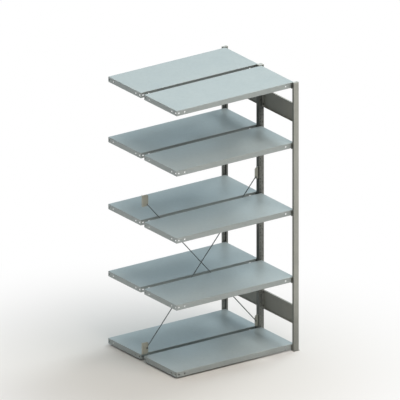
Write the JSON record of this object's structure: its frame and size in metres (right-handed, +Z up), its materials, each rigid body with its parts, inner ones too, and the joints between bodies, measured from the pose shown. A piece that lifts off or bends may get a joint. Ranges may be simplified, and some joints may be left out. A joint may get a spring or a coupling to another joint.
{
  "type": "double-sided library shelving bay",
  "caption": "Double-sided boltless steel shelving add-on bay: slotted end frame with tie panels, paired tray shelves on clips and a crossed rod brace in the middle.",
  "frame": {"origin": "floor level at the centre of the plan", "axes": "+X along the shelves toward the end frame, +Y from the front shelves toward the rear ones, +Z up"},
  "size_m": [1.0302, 0.889, 2.01],
  "materials": {
    "shelf_steel": "pale grey sheet steel, satin",
    "post_steel": "pale grey sheet steel, satin",
    "panel_steel": "pale grey sheet steel, satin",
    "clip_steel": "zinc plated",
    "bolt_steel": "zinc plated",
    "bracket_steel": "pale grey steel plate, satin",
    "rod_steel": "drawn and zinc plated",
    "foot_steel": "steel plate, satin"
  },
  "bodies": {
    "frame": {"front_post": "post_steel", "middle_post": "post_steel", "rear_post": "post_steel", "front_foot": "foot_steel", "middle_foot": "foot_steel", "rear_foot": "foot_steel", "front_panel_lower": "panel_steel", "front_panel_bolts_lower_outer": "bolt_steel", "front_panel_bolts_lower_middle": "bolt_steel", "front_panel_upper": "panel_steel", "front_panel_bolts_upper_outer": "bolt_steel", "front_panel_bolts_upper_middle": "bolt_steel", "rear_panel_lower": "panel_steel", "rear_panel_bolts_lower_outer": "bolt_steel", "rear_panel_bolts_lower_middle": "bolt_steel", "rear_panel_upper": "panel_steel", "rear_panel_bolts_upper_outer": "bolt_steel", "rear_panel_bolts_upper_middle": "bolt_steel", "front_shelf_1": "shelf_steel", "front_clip_1_outer": "clip_steel", "front_clip_1_middle": "clip_steel", "front_clip_2_outer": "clip_steel", "front_clip_2_middle": "clip_steel", "front_clip_3_outer": "clip_steel", "front_clip_3_middle": "clip_steel", "front_clip_4_outer": "clip_steel", "front_clip_4_middle": "clip_steel", "front_clip_5_outer": "clip_steel", "front_clip_5_middle": "clip_steel", "rear_shelf_1": "shelf_steel", "rear_clip_1_outer": "clip_steel", "rear_clip_1_middle": "clip_steel", "rear_clip_2_outer": "clip_steel", "rear_clip_2_middle": "clip_steel", "rear_clip_3_outer": "clip_steel", "rear_clip_3_middle": "clip_steel", "rear_clip_4_outer": "clip_steel", "rear_clip_4_middle": "clip_steel", "rear_clip_5_outer": "clip_steel", "rear_clip_5_middle": "clip_steel", "left_bracket_lower": "bracket_steel", "left_bracket_upper": "bracket_steel", "right_bracket_lower": "bracket_steel", "right_bracket_upper": "bracket_steel", "bracket_bolts_lower": "bolt_steel", "bracket_bolts_upper": "bolt_steel", "brace_rod_falling": "rod_steel", "brace_rod_rising": "rod_steel"},
    "front_shelf_2_body": {"front_shelf_2": "shelf_steel"},
    "front_shelf_3_body": {"front_shelf_3": "shelf_steel"},
    "front_shelf_4_body": {"front_shelf_4": "shelf_steel"},
    "front_shelf_5_body": {"front_shelf_5": "shelf_steel"},
    "rear_shelf_2_body": {"rear_shelf_2": "shelf_steel"},
    "rear_shelf_3_body": {"rear_shelf_3": "shelf_steel"},
    "rear_shelf_4_body": {"rear_shelf_4": "shelf_steel"},
    "rear_shelf_5_body": {"rear_shelf_5": "shelf_steel"}
  },
  "joints": [
    {"name": "front_shelf_2_lift", "type": "slide", "parent": "frame", "child": "front_shelf_2_body", "axis": [0, 0, 1], "range_m": [0, 0.03]},
    {"name": "front_shelf_3_lift", "type": "slide", "parent": "frame", "child": "front_shelf_3_body", "axis": [0, 0, 1], "range_m": [0, 0.03]},
    {"name": "front_shelf_4_lift", "type": "slide", "parent": "frame", "child": "front_shelf_4_body", "axis": [0, 0, 1], "range_m": [0, 0.03]},
    {"name": "front_shelf_5_lift", "type": "slide", "parent": "frame", "child": "front_shelf_5_body", "axis": [0, 0, 1], "range_m": [0, 0.03]},
    {"name": "rear_shelf_2_lift", "type": "slide", "parent": "frame", "child": "rear_shelf_2_body", "axis": [0, 0, 1], "range_m": [0, 0.03]},
    {"name": "rear_shelf_3_lift", "type": "slide", "parent": "frame", "child": "rear_shelf_3_body", "axis": [0, 0, 1], "range_m": [0, 0.03]},
    {"name": "rear_shelf_4_lift", "type": "slide", "parent": "frame", "child": "rear_shelf_4_body", "axis": [0, 0, 1], "range_m": [0, 0.03]},
    {"name": "rear_shelf_5_lift", "type": "slide", "parent": "frame", "child": "rear_shelf_5_body", "axis": [0, 0, 1], "range_m": [0, 0.03]}
  ]
}
